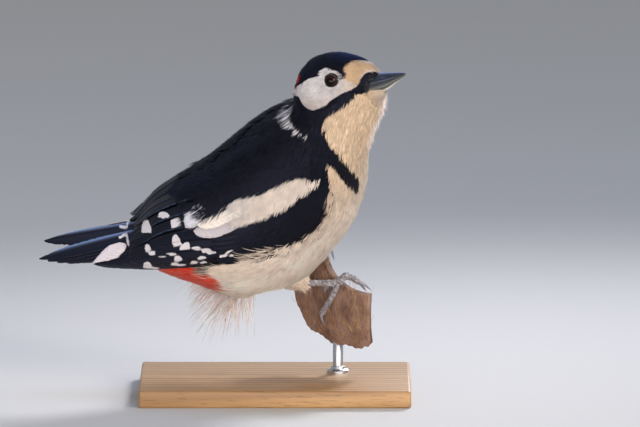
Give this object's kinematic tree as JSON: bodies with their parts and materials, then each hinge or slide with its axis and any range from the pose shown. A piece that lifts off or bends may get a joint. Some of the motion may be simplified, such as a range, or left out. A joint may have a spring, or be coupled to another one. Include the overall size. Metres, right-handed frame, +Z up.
{
  "type": "great spotted woodpecker model",
  "caption": "Life-size still model of a male great spotted woodpecker gripping a cut piece of coconut-shell rim, on a rod and flat wooden base.",
  "frame": {"origin": "middle of the underside of the stand's base, on the floor", "axes": "+X from the tail towards the bill, +Z up, -Y to the side that shows the right wing"},
  "size_m": [0.2142, 0.1303, 0.2053],
  "materials": {
    "white_feather": "matt down",
    "cream_feather": "matt down",
    "black_feather": "glossy vane",
    "horn": "satin",
    "eye": "wet gloss",
    "leg_skin": "scaled, matt",
    "shell": "rough, fibrous",
    "stand_wood": "oiled, satin",
    "stand_steel": "brushed"
  },
  "bodies": {
    "root": {"head": "white_feather", "torso": "cream_feather", "neck": "cream_feather", "rump": "black_feather", "wing_right": "black_feather", "wing_left": "black_feather", "tail": "black_feather", "thigh_right": "cream_feather", "thigh_left": "cream_feather", "bill_upper": "horn", "bill_lower": "horn", "eye_right": "eye", "eye_left": "eye", "leg_right": "leg_skin", "leg_left": "leg_skin", "perch_shell": "shell", "stand_base": "stand_wood", "stand_rod": "stand_steel", "claw_inner_right": "horn", "claw_inner_left": "horn", "claw_middle_right": "horn", "claw_middle_left": "horn", "claw_outer_right": "horn", "claw_outer_left": "horn", "claw_hind_right": "horn", "claw_hind_left": "horn"}
  },
  "joints": []
}
